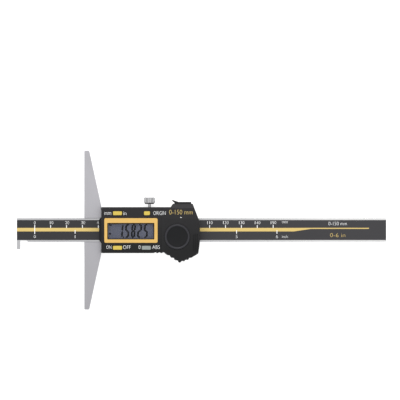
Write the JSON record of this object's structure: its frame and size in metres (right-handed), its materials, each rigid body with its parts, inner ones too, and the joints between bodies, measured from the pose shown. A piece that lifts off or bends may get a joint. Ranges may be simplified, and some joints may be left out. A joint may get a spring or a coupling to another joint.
{
  "type": "digital depth caliper",
  "caption": "Digital depth gauge: graduated beam with a hook sliding through a wide tapered base, with a display housing, keys, lock screw and battery cap.",
  "frame": {"origin": "where the beam's centreline meets the base's measuring face, at the level of the slider's back", "axes": "+X along the beam away from its tip, +Y across it towards the lock screw, +Z out of the display"},
  "size_m": [0.2323, 0.1, 0.0155],
  "materials": {
    "satin_steel": "satin ground stainless steel",
    "beam_steel": "fine ground stainless steel with bright edges",
    "scale_film": "dark grey satin film with a gold band and white graduations",
    "scale_laminate": "glass-fibre laminate strip",
    "gib_brass": "plain brass strip",
    "small_steel": "turned steel",
    "lock_chrome": "satin chrome plated, knurled",
    "charcoal_abs": "moulded charcoal plastic, fine spark texture",
    "board_green": "solder-masked circuit board",
    "chip_black": "black potting compound",
    "zebra_rubber": "layered conductive rubber strip",
    "holder_white": "white moulded frame",
    "lcd_glass": "blue-grey liquid crystal glass with dark digits",
    "clear_window": "clear polished acrylic window",
    "gold_trim": "warm yellow gold paint, satin",
    "switch_parts": "small moulded switches",
    "key_yellow": "moulded mustard yellow plastic",
    "key_grey": "moulded pale grey plastic",
    "cell_steel": "nickel plated steel can",
    "contact_metal": "gold plated spring strip",
    "cap_charcoal": "moulded charcoal plastic, smooth dish",
    "seal_rubber": "black sealing rubber",
    "connector_plastic": "black connector body"
  },
  "bodies": {
    "carriage": {"depth_base": "satin_steel", "gib": "gib_brass", "gib_screws": "small_steel", "front_cover": "charcoal_abs", "cover_screws": "small_steel", "circuit_board": "board_green", "board_screws": "small_steel", "processor_chip": "chip_black", "zebra_strips": "zebra_rubber", "display_holder": "holder_white", "lcd_panel": "lcd_glass", "display_window": "clear_window", "display_bezel": "gold_trim", "key_switches": "switch_parts", "battery_cell": "cell_steel", "negative_contact": "contact_metal", "positive_contact": "contact_metal", "data_connector": "connector_plastic", "connector_contacts": "contact_metal", "front_wiper": "seal_rubber", "rear_wiper": "seal_rubber"},
    "beam": {"beam": "beam_steel", "scale_strip": "scale_laminate", "scale_film": "scale_film"},
    "lock_pad": {"lock_pad": "gib_brass"},
    "lock_screw": {"lock_screw": "lock_chrome"},
    "battery_cap": {"battery_cap": "cap_charcoal", "battery_cap_seal": "seal_rubber"},
    "port_cover": {"port_cover": "seal_rubber"},
    "button_unit": {"button_unit": "key_yellow"},
    "button_origin": {"button_origin": "key_yellow"},
    "button_power": {"button_power": "key_yellow"},
    "button_zero": {"button_zero": "key_grey"}
  },
  "joints": [
    {"name": "beam_slide", "type": "slide", "parent": "carriage", "child": "beam", "axis": [1, 0, 0], "range_m": [-0.10755, 0.04005]},
    {"name": "lock_pad_slide", "type": "slide", "parent": "carriage", "child": "lock_pad", "axis": [0, -1, 0], "range_m": [0, 0.0002]},
    {"name": "lock_screw_turn", "type": "hinge", "parent": "lock_pad", "child": "lock_screw", "pos_m": [0.04095, 0.0125, 0.0045], "axis": [0, -1, 0], "range_deg": [0, 180]},
    {"name": "battery_cap_turn", "type": "hinge", "parent": "carriage", "child": "battery_cap", "pos_m": [0.05845, -0.00415, 0.014], "axis": [0, 0, 1], "range_deg": [0, 45]},
    {"name": "port_cover_pull", "type": "slide", "parent": "carriage", "child": "port_cover", "axis": [0, 1, 0], "range_m": [0, 0.006]},
    {"name": "button_unit_press", "type": "slide", "parent": "carriage", "child": "button_unit", "axis": [0, 0, -1], "range_m": [0, 0.0005], "stiffness_N_per_m": 2000, "springref_m": -0.0005},
    {"name": "button_origin_press", "type": "slide", "parent": "carriage", "child": "button_origin", "axis": [0, 0, -1], "range_m": [0, 0.0005], "stiffness_N_per_m": 2000, "springref_m": -0.0005},
    {"name": "button_power_press", "type": "slide", "parent": "carriage", "child": "button_power", "axis": [0, 0, -1], "range_m": [0, 0.0005], "stiffness_N_per_m": 2000, "springref_m": -0.0005},
    {"name": "button_zero_press", "type": "slide", "parent": "carriage", "child": "button_zero", "axis": [0, 0, -1], "range_m": [0, 0.0005], "stiffness_N_per_m": 2000, "springref_m": -0.0005}
  ],
  "couplings": [
    {"joint": "lock_screw_turn", "follows": "lock_pad_slide", "rad_per_m": 15700}
  ]
}
